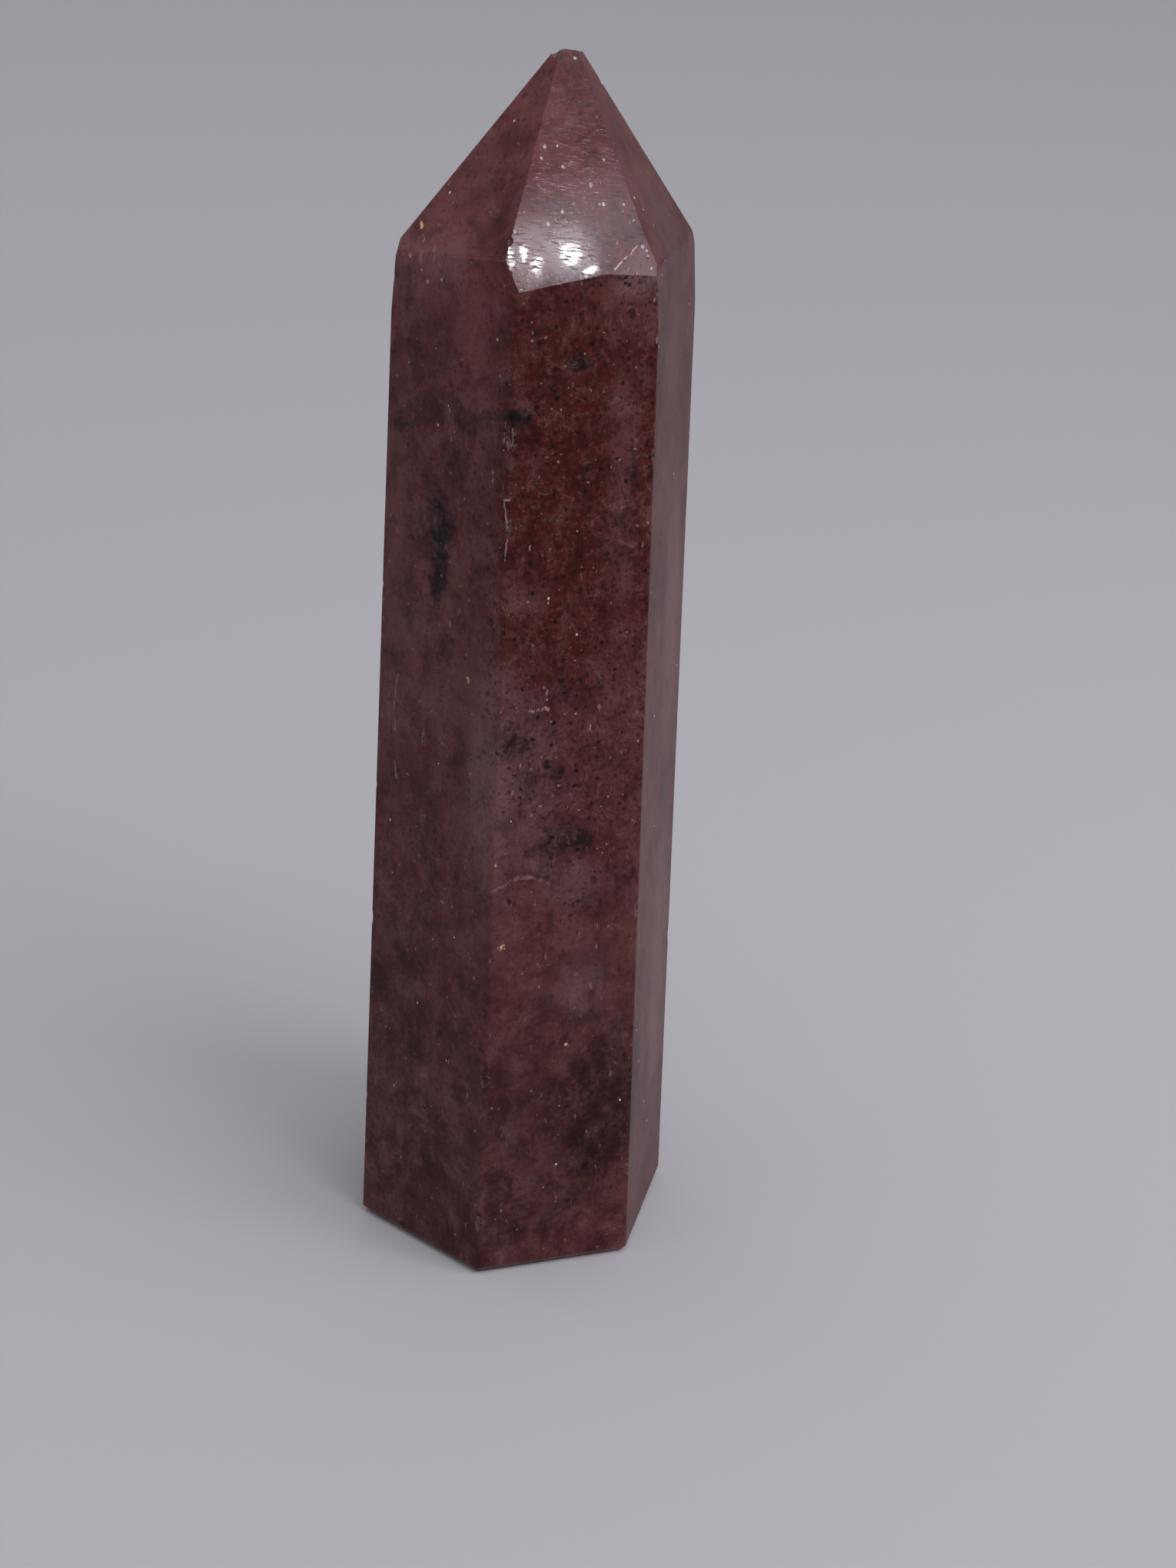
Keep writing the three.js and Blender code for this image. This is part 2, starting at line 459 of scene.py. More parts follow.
class Bench:
    # a node tree on which a finish is mixed
    def __init__(self, tree):
        self.tree = tree
        tree.nodes.clear()

    def add(self, kind, settings=None, sockets=None, output=0):
        node = self.tree.nodes.new(kind)
        for name, value in (settings or {}).items():
            setattr(node, name, value)
        for name, value in (sockets or {}).items():
            if isinstance(value, Wire):
                self.tree.links.new(value.socket, node.inputs[name])
            else:
                node.inputs[name].default_value = value
        return Wire(self, node.outputs[output]) if node.outputs else None

    def math(self, operation, first, second=0.0):
        return self.add("ShaderNodeMath", {"operation": operation}, {0: first, 1: second})

    def vector(self, operation, first, second=(0, 0, 0), output=0):
        return self.add("ShaderNodeVectorMath", {"operation": operation},
                        {0: first, 1: second}, output)

    def along(self, first, second):
        # the dot product
        return self.vector("DOT_PRODUCT", first, second, output="Value")

    def ease(self, value, low, high):
        # 0 up to low, 1 from high, smooth in between
        return self.add("ShaderNodeMapRange", {"interpolation_type": "SMOOTHSTEP"},
                        {"Value": value, "From Min": low, "From Max": high})

    def lay(self, share, under, over, how="MIX"):
        return self.add("ShaderNodeMix", {"data_type": "RGBA", "blend_type": how},
                        {0: share, 6: under, 7: over}, 2)

    def cloud(self, where, size, seed, detail, roughness):
        shifted = self.vector("ADD", where, (seed * 31.7, seed * 17.9, seed * 23.3))
        return self.add("ShaderNodeTexNoise", {}, {
            "Vector": shifted, "Scale": 1 / size, "Detail": detail, "Roughness": roughness,
        })

    def sway(self, where, size, reach):
        # the place itself, pushed about by swirls of one size
        swirl = self.add("ShaderNodeTexNoise", {},
                         {"Vector": where, "Scale": 1 / size, "Detail": 2}, "Color")
        push = self.vector("SUBTRACT", swirl, (0.5, 0.5, 0.5))
        return self.vector("ADD", where, self.vector("MULTIPLY", push, (reach, reach, reach)))

    def within(self, where, middle, size):
        # 0 in the middle of an egg-shaped cloud, 1 on its rim
        away = self.vector("DIVIDE", self.vector("SUBTRACT", where, middle), size)
        return self.vector("LENGTH", away, output="Value")

    def beside(self, where, start, end):
        # distance from a straight run between two points of the stone
        run = Vector(end) - Vector(start)
        along = self.along(self.vector("SUBTRACT", where, start), run)
        along = self.add("ShaderNodeClamp", {}, {"Value": along / run.length_squared})
        nearest = self.add("ShaderNodeVectorMath", {"operation": "SCALE"}, {0: run, "Scale": along})
        return self.vector("DISTANCE", where, self.vector("ADD", nearest, start), output="Value")

    def grains(self, where, spacing, radius, share, seed):
        # grains strewn through the stone, some strong and some faint, and some cells stay empty
        shifted = self.vector("ADD", where, (seed * 17.3, seed * 5.1, seed * 11.7))
        cell = self.add("ShaderNodeTexVoronoi", {"feature": "F1"},
                        {"Vector": shifted, "Scale": 1 / spacing})
        chance = self.add("ShaderNodeSeparateColor", {}, {0: cell.other("Color")})
        size = (chance.other("Green") * 0.7 + 0.3) * (radius / spacing)
        inside = 1 - self.ease(cell / size, 0.6, 1.0)
        return inside * (chance < share) * (chance.other("Blue") * 0.75 + 0.25)


def linear(colour):
    # a colour as read off a screen, as the shader wants it
    channels = [int(colour[i:i + 2], 16) / 255 for i in (0, 2, 4)]
    channels = [c / 12.92 if c < 0.04045 else ((c + 0.055) / 1.055) ** 2.4 for c in channels]
    return (*channels, 1.0)


# strawberry quartz: clouded red-brown and mauve, with pin-points, flecks and veils

quartz = {
    "tints": {
        "wine": "4b1211",
        "rust": "47120e",
        "mauve": "643938",
        "grey": "664447",
        "dusk": "55292b",
        "rose": "764244",
        # painted glints: short bright strokes at the left shoulder
        "glintStroke": "b5847e",
        # painted reflection along a ridge of the point
        "flare": "f0c8bc",
        "veil": "7d5a5c",
        "night": "240d10",
        "soot": "0b0a0c",
        "pin": "080303",
        "pale": "b08f88",
        # painted glints
        "glint": "f0b890",
        "fresh": "76706a",
        # painted highlight: the pale colour of the pits
        "pitHighlight": "f0e2dc",
        "milk": "765050",
        "spot": "26090a",
    },
    "ior": 1.25,
    "specular": 0.5,
    "subsurface": 0.1,
    "subsurfaceReach": 0.3,     # mm, in all, and by colour as shares of it
    "subsurfaceRadius": (1.0, 0.4, 0.35),
    "roughness": 0.30,          # of the sides
    "pointRoughness": 0.02,
    "flankRoughness": 0.38,     # of the right side, which the photograph shows dull
    "flankCalm": 0.4,           # how much fainter the clouds and specks are there
    "scratchRoughness": 0.09,   # what scratches, pin-points and wear add
    "pinRoughness": 0.1,
    "wornRoughness": 0.15,
    "swellDepth": 0.008,        # mm of swell that the polish left
    "ribDepth": 0.0030,         # mm of the streaks drawn out up the sides
    "scratchDepth": 0.0009,
    "brokenDepth": 0.06,
    # swirls that move what lies in the stone: their size and reach in mm
    "swirls": {
        "bent": (5, 3.0),
        "frayed": (0.4, 0.3),
        "torn": (0.22, 0.3),
        "tornWide": (0.4, 0.8),
        "wavering": (0.9, 0.6),
    },
    # noises: size in mm, seed, detail, roughness
    "noises": {
        "broad": (8, 1, 4, 0.6),
        "haze": (2.4, 2, 4, 0.5),
        "mottle": (0.45, 3, 2, 0.6),
        "grain": (0.2, 4, 2, 0.7),
        "ragged": (2.0, 5, 4, 0.6),
        "swell": (5, 7, 1, 0.55),
        "rib": (0.9, 8, 3, 0.55),
        "scratch": (0.2, 9, 3, 0.7),
        "chips": (0.5, 10, 3, 0.55),
        "milk": (1.4, 11, 5, 0.6),
        "spots": (0.38, 12, 2, 0.5),
        "threads": (1.3, 13, 2, 0.5),
    },
    # grains: spacing and radius in mm, share of the places that hold one, seed
    "grains": {
        "pins": (0.6, 0.27, 0.65, 1),
        "bigPins": (1.4, 0.5, 0.3, 2),
        "glints": (2.2, 0.22, 0.3, 6),
        "sparks": (0.75, 0.24, 0.6, 7),
    },
    # how much some noises are drawn out, upwards or along a scratch
    "drawn": {
        "grain": (1, 1, 0.4),
        "rib": (1, 1, 0.04),
        "milk": (1, 1, 0.5),
        "bigPins": (1, 1, 0.7),
        "scratch": (0.07, 1, 1),
    },
    "scratchTurn": (0, 0.25, 0),
    # from where to where a value fades in
    "bands": {
        "crowd": (0.8, 1.3),
        "flank": (0.72, 0.82),      # how far a face looks to the right
        "point": (0.25, 0.4),       # how far it looks up
        "broad": (0.42, 0.6),
        "cloud": (0.4, 1.6),
        "milk": (0.45, 0.75),
        "spots": (0.54, 0.68),
        "threads": (0.0, 0.03),
        "threadsShow": (0.9, 1.15),
        "rims": (0.65, 0.9),
        "veins": (0.82, 1.07),
        "sparks": (0.5, 1.1),
        "fresh": (0.95, 1.2),
        "pitHighlight": (0.3, 0.5),
        "scratch": (0.52, 0.72),
    },
    # how strongly each shows
    "strengths": {
        "milk": 0.4, "spots": 0.6, "threads": 0.12, "pins": 0.95, "flecks": 0.8,
        "fresh": 0.5, "pitHighlight": 0.8,
    },
    "raggedCoarse": 2.6,        # how ragged the clouds are
    "raggedFine": 1.2,
    "crowdRagged": 0.4,
    "crowdShare": 0.6,          # what the pin-points lose where there are few
    "hazeTone": 3.2,            # what each noise does to light and dark
    "mottleTone": 2.0,
    "grainTone": 2.0,
    "ribTone": 0.5,
    "darkening": 1.1,
    "milkiest": 1.3,            # how milky it is away from the pin-points, and what they take
    "milkLost": 0.6,
    "lineCore": 0.4,            # the share of a line's half width that is full
    "fleckSpacing": 0.7,
    "fleckShare": 0.5,
    "fleckSeed": 3,
    "fleckLeast": 0.2,          # what is left of the flecks where there are few pin-points
    # short pale flecks lie three ways: turn, stretch, half thickness
    "flecks": [((0.3, 0.2, 0), (1, 1, 0.3), 0.12), ((-0.5, 0.9, 1.2), (1, 0.3, 1), 0.14)],
    # clouds and smudges of this stone, and one painted reflection on the point: tint, middle, half
    # size, strength
    "clouds": [
        ("wine", (4.0, -12, 66), (9.0, 4, 24), 0.95),
        ("rust", (3.0, -12, 79.5), (5.0, 4, 4.5), 0.6),
        ("rust", (2.8, -12, 69), (4.2, 4, 7), 0.85),
        ("rust", (2.0, -12, 56.5), (4.0, 3, 3.0), 0.8),
        ("mauve", (7.2, -10.3, 69), (1.0, 3, 8), 0.8),
        ("wine", (9.3, -9.5, 74), (0.7, 3, 4), 0.9),
        ("mauve", (7.5, -10.5, 82), (3.0, 3, 1.6), 0.6),
        ("rose", (8.3, -9.2, 85.4), (1.5, 2.5, 1.6), 0.8),
        ("mauve", (7.9, -9.9, 83.4), (2.2, 3, 1.4), 0.7),
        ("veil", (8.2, -9.8, 84.3), (1.9, 2, 0.8), 0.8),
        ("rose", (-6.5, -8.0, 79), (5.0, 4, 5), 0.4),
        ("rose", (-3.6, -10.4, 79), (2.2, 3, 7), 0.6),
        ("night", (-7.8, -7.2, 79), (2.2, 3, 5), 0.25),
        ("rose", (-6.8, -7.6, 83.2), (4.5, 3, 1.6), 0.6),
        ("grey", (-4.7, -10.5, 52), (3.0, 3, 4), 0.5),
        ("rose", (-2.4, -12.6, 53), (1.2, 2, 5), 0.4),
        ("mauve", (-0.2, -12.6, 60.2), (2.0, 3, 1.3), 0.9),
        ("grey", (0.4, -12.5, 45), (3.2, 4, 8), 0.9),
        ("mauve", (7.5, -10.5, 50), (3.0, 3, 6), 0.6),
        ("dusk", (4.0, -12, 24), (9.0, 4, 24), 0.6),
        ("mauve", (3.0, -12, 28), (5.0, 3, 9), 0.35),
        ("grey", (-2.5, -12, 42), (2.0, 3, 12), 0.8),
        ("veil", (-2.4, -12.2, 44), (1.5, 2, 9), 0.6),
        ("veil", (2.0, -12.1, 38.0), (1.3, 2, 0.9), 0.5),
        ("veil", (5.0, -11.2, 26.3), (2.4, 3, 1.8), 0.5),
        ("veil", (-7.5, -8, 30), (1.6, 3, 3), 0.35),
        ("grey", (-10.5, -5, 60), (1.6, 3, 20), 0.4),
        ("mauve", (-3.6, -10.8, 66), (2.0, 3, 14), 0.5),
        ("dusk", (-7.0, -8.0, 72), (3.0, 4, 8), 0.6),
        ("dusk", (-6.5, -9, 25), (8, 6, 16), 0.9),
        ("night", (-10, -6, 18), (4, 4, 14), 0.4),
        ("night", (-5, -9, 5), (8, 6, 6), 0.4),
        ("night", (8.5, -10, 15), (4.8, 3, 6), 0.75),
        ("night", (2.0, -12.5, 14), (7.0, 4, 12), 0.3),
        ("grey", (6.0, -11, 27), (2.4, 3, 3), 0.5),
        ("grey", (4.6, -11, 36.2), (1.9, 2, 1.6), 0.9),
        ("rose", (-3.0, -5, 93), (8, 8, 9), 0.5),
        ("rose", (-6.5, -6.5, 86), (3.2, 3, 2.6), 1.0),
        # painted reflection: the grey haze that the right facet of the point mirrors
        ("grey", (9.5, -2.5, 87.5), (3.0, 4, 5), 0.6),
        ("rose", (3.0, -8, 90), (6, 5, 6), 0.35),
        ("grey", (2.4, -2.3, 99.4), (1.2, 1.4, 0.7), 0.7),
        ("wine", (1.5, -3.4, 98.1), (2.4, 1.6, 0.5), 0.6),
        ("wine", (-1.4, -5.0, 93.8), (1.2, 2, 1.6), 0.6),
        ("wine", (-2.3, -8.6, 92), (0.8, 3, 6), 0.6),
        ("rose", (-1.0, -3.0, 97.5), (3.4, 4, 3.6), 0.6),
        ("veil", (11.9, 0.5, 56), (1.5, 2.6, 10), 0.5),
        ("veil", (12.0, 0, 24), (1.5, 3.4, 12), 0.6),
        ("rust", (11, 2, 74), (3, 4, 7), 0.5),
        ("veil", (6, 10, 40), (4, 4, 8), 0.45),
        ("rust", (8, 8, 66), (4, 4, 12), 0.6),
        ("grey", (-4, 12, 22), (5, 4, 12), 0.6),
        ("wine", (-3, 11, 62), (5, 4, 16), 0.7),
        ("rose", (-11, 3, 76), (3, 5, 8), 0.5),
        ("wine", (-12, 2, 40), (3, 5, 12), 0.6),
        ("soot", (5.6, 10.6, 52), (1.6, 1.6, 2.6), 0.7),
        ("soot", (-12, 1.4, 57), (1.2, 1.6, 1.0), 0.7),
        ("soot", (-6.9, -8.2, 64.6), (1.4, 1.6, 2.7), 1.0),
        ("soot", (-6.6, -8.5, 60.6), (0.8, 1.1, 2.6), 0.9),
        ("soot", (-10.0, -5.1, 72.4), (0.8, 1.0, 0.7), 0.7),
        ("soot", (-5.0, -9.5, 73.7), (5.2, 4.0, 1.1), 0.4),
        ("soot", (-0.4, -12.8, 74.7), (1.2, 1.2, 0.5), 1.0),
        ("soot", (-5.6, -9.1, 70.6), (0.9, 1.3, 1.1), 0.45),
        ("soot", (3.4, -11.6, 39.8), (2.4, 1.5, 1.2), 0.8),
        ("soot", (3.6, -11.4, 78.4), (0.9, 1.0, 0.5), 0.8),
        ("soot", (-0.2, -12.5, 48.4), (0.9, 1.0, 1.1), 0.75),
        ("soot", (8.2, -9.4, 70.4), (0.3, 1.0, 2.0), 0.5),
        ("veil", (-7.6, -6.7, 84.7), (3.4, 3.2, 2.1), 0.55),
    ],
    # rims of flakes, worn edges and cracks show as lines, and so do a painted glint and a painted
    # reflection: tint, start, end, half width, strength
    "rims": [
        ("pale", (-1.5, -12.5, 74.1), (-1.6, -12.5, 72.0), 0.09, 0.7),
        ("pale", (-0.9, -12.7, 74.0), (-1.0, -12.7, 72.0), 0.09, 0.6),
        ("pale", (-1.5, -12.8, 68.2), (-1.1, -13.0, 68.3), 0.12, 0.9),
        ("pale", (-1.5, -12.8, 68.1), (-1.2, -13.0, 65.9), 0.10, 0.8),
        ("pale", (-1.2, -13.0, 65.9), (-1.35, -13.0, 63.6), 0.09, 0.6),
        # painted glint at the left shoulder
        ("glint", (-8.6, -3.9, 87.4), (-8.5, -4.3, 86.9), 0.16, 1.0),
        # painted reflection: the bright line on the ridge between the front facet and the small
        # corner facet
        ("flare", (6.2, -10.3, 85.3), (7.0, -9.7, 86.1), 0.10, 0.8),
        ("flare", (7.0, -9.7, 86.1), (7.8, -9.0, 86.8), 0.08, 0.6),
    ],
    "veins": [
        ("pale", (-1.8, -13.3, 36.0), (-0.4, -12.9, 36.9), 0.22, 0.3),
        ("pale", (-0.4, -12.9, 36.9), (1.2, -12.3, 37.0), 0.25, 0.3),
        ("pale", (1.2, -12.3, 37.0), (2.7, -11.8, 36.2), 0.22, 0.3),
        ("pale", (0.8, -12.4, 51.2), (2.3, -11.9, 51.3), 0.15, 0.8),
        ("pale", (-1.7, -13.1, 31.6), (-0.9, -13.0, 30.6), 0.13, 0.5),
        ("rose", (1.0, -12.3, 68.8), (4.5, -11.1, 68.1), 0.12, 0.6),
        ("rose", (-1.0, -13.0, 69.6), (3.0, -11.7, 69.4), 0.10, 0.5),
        ("rose", (0.7, -12.4, 56.3), (4.0, -11.2, 57.4), 0.11, 0.6),
        # painted glints: short strokes of light off cracks at the left shoulder
        ("glintStroke", (-8.3, -4.9, 86.6), (-8.3, -5.2, 86.1), 0.16, 0.4),
        ("glintStroke", (-8.5, -5.8, 85.4), (-8.4, -6.1, 84.6), 0.2, 0.45),
        ("glintStroke", (-7.4, -6.5, 85.8), (-7.4, -6.9, 85.0), 0.18, 0.4),
        ("glintStroke", (-6.9, -7.3, 85.0), (-6.9, -7.4, 84.5), 0.18, 0.4),
        ("pale", (-10.1, -5.6, 51.5), (-10.4, -5.5, 49.0), 0.16, 0.35),
        ("pale", (-10.4, -5.5, 49.0), (-10.3, -5.6, 46.6), 0.16, 0.3),
        ("pale", (-7.9, -7.6, 47.9), (-8.0, -7.7, 46.1), 0.14, 0.4),
        ("pale", (-10.4, -5.6, 44.0), (-10.2, -5.8, 42.5), 0.14, 0.45),
        # painted glints: three bright dots
        ("glint", (-0.9, -13.0, 31.1), (-0.8, -13.0, 30.9), 0.2, 1.0),
        ("glint", (-1.6, -13.3, 38.4), (-1.6, -13.3, 38.3), 0.16, 0.8),
        ("glint", (-4.2, -10.8, 53.1), (-4.2, -10.8, 52.9), 0.16, 0.8),
        ("soot", (-0.9, -12.8, 74.8), (-3.4, -11.0, 74.2), 0.5, 0.5),
    ],
    # where the dark pin-points crowd, and where there are few
    "crowded": ((5.2, -12, 62), (7.5, 7, 27)),
    # where the painted glints of cracks under the skin lie
    "sparks": ((-8.0, -6.2, 84.2), (3.0, 2.6, 1.7)),
}


def fieldsOf(bench):
    # what the finish is mixed from: places in the stone, bent by its own swirls, and noises there
    swirls, noises, drawn, bands = (quartz[key] for key in ("swirls", "noises", "drawn", "bands"))
    place = bench.add("ShaderNodeTexCoord", {}, {}, "Object")
    where = bench.vector("MULTIPLY", place, (1 / mm, 1 / mm, 1 / mm))
    bent = bench.sway(where, *swirls["bent"])
    frayed = bench.sway(where, *swirls["frayed"])
    fields = {"where": where, "bent": bent, "frayed": frayed}
    fields["broad"] = bench.cloud(bent, *noises["broad"])
    fields["haze"] = bench.cloud(bent, *noises["haze"])
    fields["mottle"] = bench.cloud(frayed, *noises["mottle"])
    upright = bench.vector("MULTIPLY", where, drawn["grain"])
    fields["grain"] = bench.cloud(upright, *noises["grain"])
    coarse = (bench.cloud(bent, *noises["ragged"]) - 0.5) * quartz["raggedCoarse"]
    fields["ragged"] = coarse + (fields["mottle"] - 0.5) * quartz["raggedFine"]
    upright = bench.vector("MULTIPLY", where, drawn["rib"])
    fields["rib"] = bench.cloud(upright, *noises["rib"])

    middle, size = quartz["crowded"]
    away = bench.within(where, middle, size) + fields["ragged"] * quartz["crowdRagged"]
    fields["crowd"] = 1 - bench.ease(away, *bands["crowd"]) * quartz["crowdShare"]
    facing = bench.add("ShaderNodeNewGeometry", {}, {}, "True Normal")
    facing = bench.add("ShaderNodeSeparateXYZ", {}, {0: facing}, "X")
    fields["flank"] = bench.ease(facing, *bands["flank"])
    fields["stir"] = 1 - fields["flank"] * quartz["flankCalm"]
    fields["onPoint"] = bench.ease(bench.math("ABSOLUTE", facing.other("Z")), *bands["point"])
    return fields


def cloudedColour(bench, fields, tints):
    # wine red, rusty in its heart, with mauve and grey clouds
    bands = quartz["bands"]
    where, ragged, stir, crowd = (fields[key] for key in ("where", "ragged", "stir", "crowd"))
    colour = bench.lay(bench.ease(fields["broad"], *bands["broad"]), tints["mauve"], tints["dusk"])
    for tint, middle, size, strength in quartz["clouds"]:
        away = bench.within(where, middle, size) + ragged * stir
        share = (1 - bench.ease(away, *bands["cloud"])) * strength
        colour = bench.lay(share, colour, tints[tint])

    # what is light is milky, and what is dark lets one look deeper
    tone = (fields["haze"] - 0.5) * quartz["hazeTone"]
    mottleTone = (fields["mottle"] - 0.5) * quartz["mottleTone"]
    grainTone = (fields["grain"] - 0.5) * quartz["grainTone"]
    tone = (tone + (mottleTone + grainTone) * crowd) * stir
    tone = tone + (fields["rib"] - 0.5) * quartz["ribTone"]
    drawn = bench.vector("MULTIPLY", fields["bent"], quartz["drawn"]["milk"])
    strength = quartz["strengths"]["milk"]
    milk = bench.ease(bench.cloud(drawn, *quartz["noises"]["milk"]), *bands["milk"])
    milk = milk * stir * strength + bench.math("MAXIMUM", tone, 0.0) * strength
    milk = milk * (quartz["milkiest"] - crowd * quartz["milkLost"])
    colour = bench.lay(milk, colour, tints["milk"])
    shade = 2 ** bench.math("MINIMUM", tone * quartz["darkening"], 0.0)
    shade = bench.add("ShaderNodeCombineColor", {}, {0: shade, 1: shade, 2: shade})
    return bench.lay(1.0, colour, shade, "MULTIPLY")


def darkSpecks(bench, fields):
    # pin-points, small and big
    swirls, grains = quartz["swirls"], quartz["grains"]
    torn = bench.sway(fields["where"], *swirls["torn"])
    pins = bench.grains(torn, *grains["pins"]) * fields["crowd"]
    torn = bench.sway(fields["where"], *swirls["tornWide"])
    torn = bench.vector("MULTIPLY", torn, quartz["drawn"]["bigPins"])
    bigPins = bench.grains(torn, *grains["bigPins"]) * fields["crowd"]
    return bench.math("MAXIMUM", pins, bigPins) * fields["stir"]


def withThreads(bench, fields, tints, colour):
    # dark spots, and pale threads in the haze
    bands, noises, strengths = (quartz[key] for key in ("bands", "noises", "strengths"))
    bent, frayed, stir, crowd = (fields[key] for key in ("bent", "frayed", "stir", "crowd"))
    spots = bench.ease(bench.cloud(frayed, *noises["spots"]), *bands["spots"]) * crowd * stir
    colour = bench.lay(spots * strengths["spots"], colour, tints["spot"])
    threads = bench.math("ABSOLUTE", bench.cloud(bent, *noises["threads"]) - 0.5)
    shown = bench.ease(fields["haze"] + fields["mottle"], *bands["threadsShow"])
    threads = (1 - bench.ease(threads, *bands["threads"])) * shown * crowd * stir
    return bench.lay(threads * strengths["threads"], colour, tints["pale"])


def withLines(bench, fields, tints, colour):
    # rims are crisp and veins waver, and both are broken; a few of them are painted glints and a
    # painted reflection
    wavering = bench.sway(fields["frayed"], *quartz["swirls"]["wavering"])
    for kind, course in (("rims", fields["frayed"]), ("veins", wavering)):
        whole = bench.ease(fields["mottle"] + fields["grain"], *quartz["bands"][kind])
        for tint, start, end, halfWidth, strength in quartz[kind]:
            away = bench.beside(course, start, end)
            line = 1 - bench.ease(away, halfWidth * quartz["lineCore"], halfWidth)
            line = line * whole
            colour = bench.lay(line * strength, colour, tints[tint])
    return colour


def withFlecks(bench, fields, tints, colour):
    # pale flecks, and painted glints that are brightest at the left shoulder
    frayed, stir, crowd = (fields[key] for key in ("frayed", "stir", "crowd"))
    spacing, share = quartz["fleckSpacing"], quartz["fleckShare"]
    for number, (turn, draw, radius) in enumerate(quartz["flecks"]):
        lying = {"Vector": frayed, "Rotation": turn, "Scale": draw}
        lying = bench.add("ShaderNodeMapping", {}, lying)
        flecks = bench.grains(lying, spacing, radius, share, quartz["fleckSeed"] + number)
        flecks = flecks * (crowd * (1 - quartz["fleckLeast"]) + quartz["fleckLeast"]) * stir
        colour = bench.lay(flecks * quartz["strengths"]["flecks"], colour, tints["pale"])
    glints = bench.grains(fields["where"], *quartz["grains"]["glints"]) * stir
    colour = bench.lay(glints, colour, tints["glint"])
    middle, size = quartz["sparks"]
    away = bench.within(fields["where"], middle, size)
    sparks = bench.grains(frayed, *quartz["grains"]["sparks"])
    sparks = sparks * (1 - bench.ease(away, *quartz["bands"]["sparks"]))
    return bench.lay(sparks, colour, tints["glint"])


def polishOf(bench, fields, dark, wear):
    # a slow swell, streaks up the sides, and fine scratches across the point
    where, flank, onPoint, rib = (fields[key] for key in ("where", "flank", "onPoint", "rib"))
    noises = quartz["noises"]
    swell = bench.cloud(where, *noises["swell"])
    lean = {"Vector": where, "Rotation": quartz["scratchTurn"], "Scale": quartz["drawn"]["scratch"]}
    lean = bench.add("ShaderNodeMapping", {}, lean)
    scratch = bench.ease(bench.cloud(lean, *noises["scratch"]), *quartz["bands"]["scratch"])
    scratch = scratch * onPoint * (1 - flank)
    relief = swell * quartz["swellDepth"] + rib * (1 - onPoint) * quartz["ribDepth"]
    relief = relief - scratch * quartz["scratchDepth"]
    if wear == "broken":
        relief = relief + bench.cloud(where, *noises["chips"]) * quartz["brokenDepth"]
    normal = bench.add("ShaderNodeBump", {}, {"Strength": 1.0, "Distance": mm, "Height": relief})

    rough = quartz["roughness"] + onPoint * (quartz["pointRoughness"] - quartz["roughness"])
    rough = rough + flank * (quartz["flankRoughness"] - rough)
    rough = rough + scratch * quartz["scratchRoughness"] + dark * quartz["pinRoughness"]
    if wear != "polished":
        rough = rough + quartz["wornRoughness"]
    return rough, normal


def quartzFinish(name, wear):
    # wear: polished, broken for the inside of a flake, pit for a pore whose pale colour is a
    # painted highlight
    material = bpy.data.materials.new(name)
    material.use_nodes = True
    bench = Bench(material.node_tree)
    bands, strengths = quartz["bands"], quartz["strengths"]
    tints = {tint: linear(code) for tint, code in quartz["tints"].items()}
    fields = fieldsOf(bench)
    mottle, grain = fields["mottle"], fields["grain"]

    colour = cloudedColour(bench, fields, tints)
    colour = withThreads(bench, fields, tints, colour)
    dark = darkSpecks(bench, fields)
    colour = bench.lay(dark * strengths["pins"], colour, tints["pin"])
    colour = withLines(bench, fields, tints, colour)
    colour = withFlecks(bench, fields, tints, colour)
    if wear == "broken":
        fresh = bench.ease(grain + mottle, *bands["fresh"])
        colour = bench.lay(fresh * strengths["fresh"], colour, tints["fresh"])
    if wear == "pit":
        # painted highlight: the pits take a pale colour in place of the glint of the lamps
        pitHighlight = bench.ease(mottle, *bands["pitHighlight"])
        colour = bench.lay(pitHighlight * strengths["pitHighlight"], colour, tints["pitHighlight"])

    rough, normal = polishOf(bench, fields, dark, wear)
    body = bench.add("ShaderNodeBsdfPrincipled", {}, {
        "Base Color": colour, "Roughness": rough, "Normal": normal, "IOR": quartz["ior"],
        "Specular IOR Level": quartz["specular"], "Subsurface Weight": quartz["subsurface"],
        "Subsurface Radius": quartz["subsurfaceRadius"],
        "Subsurface Scale": quartz["subsurfaceReach"] * mm,
    })
    bench.add("ShaderNodeOutputMaterial", {}, {"Surface": body})
    print(f"finish {name}: {len(bench.tree.nodes)} nodes")
    return material


# the stage: a pale floor, soft light and the camera

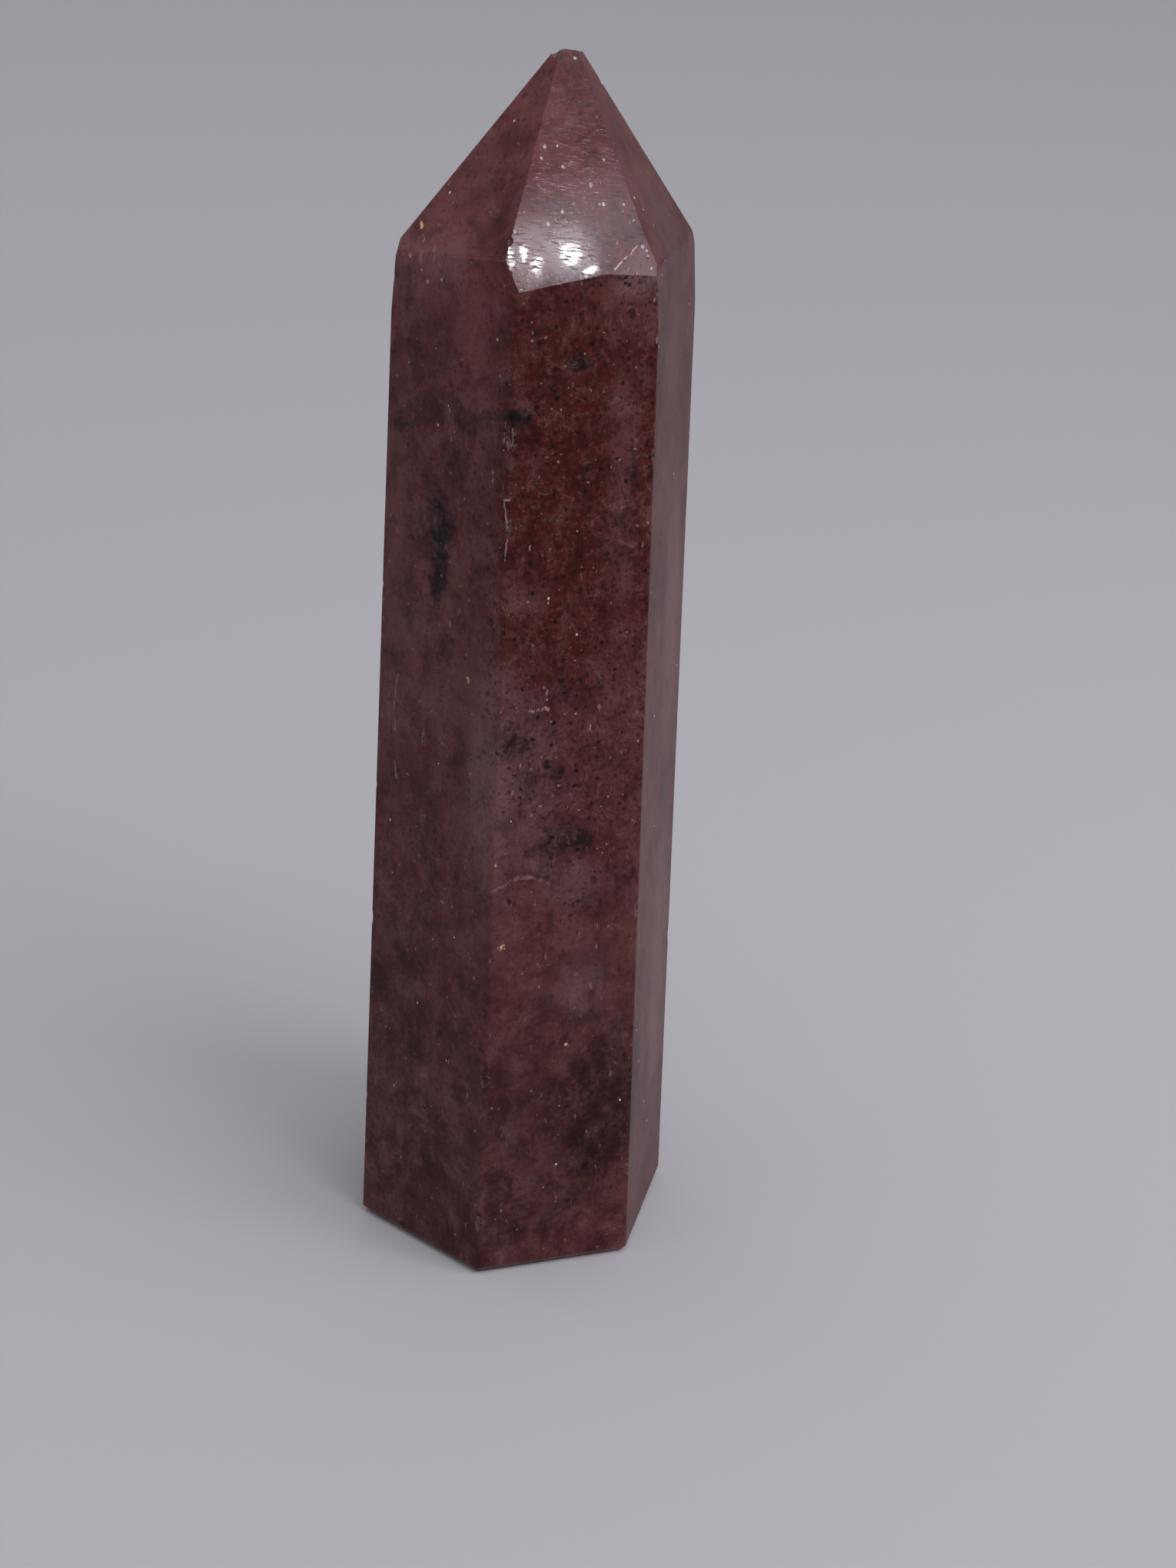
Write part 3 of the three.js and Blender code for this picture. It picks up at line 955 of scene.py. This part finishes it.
stage = {
    "floorSize": 6.0,       # metres
    "floor": (0.535, 0.53, 0.555),
    "horizon": (0.26, 0.26, 0.27),
    "zenith": (0.62, 0.62, 0.64),
    "eye": (5.54, -185, 115),   # mm
    "lookDown": 22,
    "turned": 2,            # degrees, clockwise in the picture
    "lens": 54.04,
    "sensor": 36,
    # soft boxes: middle in mm, what it faces, width, height, brightness
    "boxes": {
        "key": ((420, -900, 1500), (0, 0, 50), 1400, 1400, 0.85),
        "fill": ((300, -150, 380), (160, -110, 0), 160, 160, 5.6),
    },
    # bright places of the room, as windows are: turn and height in degrees,
    # half width, half height, brightness
    "windows": [
        (29.8, 52.7, 0.85, 0.9, 10), (31.3, 52.4, 0.85, 0.9, 14), (31.5, 52.4, 4.4, 2.2, 5.2),
        (45, 34, 7, 7, 6), (38, 43, 4, 4, 10), (95, 28, 20, 8, 2.5),
    ],
    "windowBlue": 1.12,
    "windowEdge": 0.35,     # how far out a window starts to fade
    "skyStart": 0.08,       # how far up the room starts to lighten
    "facet": (2, -11, 86),  # the front facet of the point, which mirrors the little lamps
    # these lamps: where, width, height, brightness
    "lamps": [
        ((183, -329, 560), 3, 3, 220), ((193, -324, 561), 5.5, 5, 180),
        ((200, -326, 557), 6, 2, 200), ((174, -330, 563), 2.2, 5, 180),
        ((178, -328, 563), 1.5, 4.5, 180),
    ],
}


def makeFloor():
    half = stage["floorSize"] / 2
    shape = bmesh.new()
    bmesh.ops.create_grid(shape, x_segments=1, y_segments=1, size=half)
    floor = objectOf(shape, "floor")
    material = bpy.data.materials.new("paleFloor")
    material.use_nodes = True
    bench = Bench(material.node_tree)
    surface = bench.add("ShaderNodeBsdfDiffuse", {}, {"Color": stage["floor"] + (1,)})
    bench.add("ShaderNodeOutputMaterial", {}, {"Surface": surface})
    floor.data.materials.append(material)


def softBox(name, middle, target, width, height, brightness, oval=False):
    lamp = bpy.data.lights.new(name, "AREA")
    lamp.shape = "ELLIPSE" if oval else "RECTANGLE"
    lamp.size = width * mm
    lamp.size_y = height * mm
    area = lamp.size * lamp.size_y * (math.pi / 4 if oval else 1)
    lamp.energy = brightness * area * math.pi
    lampObject = bpy.data.objects.new(name, lamp)
    lampObject.location = Vector(middle) * mm
    aim = Vector(target) - Vector(middle)
    lampObject.rotation_euler = aim.to_track_quat("-Z", "Y").to_euler()
    bpy.context.scene.collection.objects.link(lampObject)


def lightStage():
    for name, (middle, target, width, height, brightness) in stage["boxes"].items():
        softBox(name, middle, target, width, height, brightness)
    for number, (middle, width, height, brightness) in enumerate(stage["lamps"]):
        softBox(f"lamp{number}", middle, stage["facet"], width, height, brightness, oval=True)
    world = bpy.data.worlds.new("room")
    world.use_nodes = True
    bpy.context.scene.world = world
    bench = Bench(world.node_tree)
    look = bench.add("ShaderNodeTexCoord", {}, {}, "Generated")
    up = bench.add("ShaderNodeSeparateXYZ", {}, {0: look}, "Z")
    rise = bench.ease(up, stage["skyStart"], 1.0)
    colour = bench.lay(rise, stage["horizon"] + (1,), stage["zenith"] + (1,))
    for turn, height, halfWidth, halfHeight, brightness in stage["windows"]:
        turn, height = math.radians(turn), math.radians(height)
        right = Vector((math.cos(turn), math.sin(turn), 0))
        flat = math.cos(height)
        ahead = Vector((math.sin(turn) * flat, -math.cos(turn) * flat, math.sin(height)))
        across = bench.along(look, right) / math.sin(math.radians(halfWidth))
        upward = bench.along(look, right.cross(ahead)) / math.sin(math.radians(halfHeight))
        away = (across ** 2 + upward ** 2) ** 0.5
        bright = (1 - bench.ease(away, stage["windowEdge"], 1.0)) * (bench.along(look, ahead) > 0)
        light = (brightness, brightness, brightness * stage["windowBlue"], 1)
        colour = bench.lay(bright, colour, light, "ADD")
    glow = bench.add("ShaderNodeBackground", {}, {"Color": colour, "Strength": 1.0})
    bench.add("ShaderNodeOutputWorld", {}, {"Surface": glow})


def setCamera():
    camera = bpy.data.cameras.new("camera")
    camera.lens = stage["lens"]
    camera.sensor_width = stage["sensor"]
    camera.clip_start = 0.01
    camera.clip_end = 20
    cameraObject = bpy.data.objects.new("camera", camera)
    tilt = Matrix.Rotation(math.radians(90 - stage["lookDown"]), 4, "X")
    turn = Matrix.Rotation(math.radians(stage["turned"]), 4, "Z")
    cameraObject.matrix_world = Matrix.Translation(Vector(stage["eye"]) * mm) @ tilt @ turn
    bpy.context.scene.collection.objects.link(cameraObject)
    bpy.context.scene.camera = cameraObject
    bpy.context.scene.view_settings.view_transform = "Standard"


polished = quartzFinish("strawberryQuartz", "polished")
broken = quartzFinish("strawberryQuartzBroken", "broken")
pitted = quartzFinish("strawberryQuartzPit", "pit")
piece = makeStone(polished, broken, pitted)
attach(piece, "root")
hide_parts("quartz_point")

makeFloor()
lightStage()
setCamera()
print("stage: floor, light and camera are set")
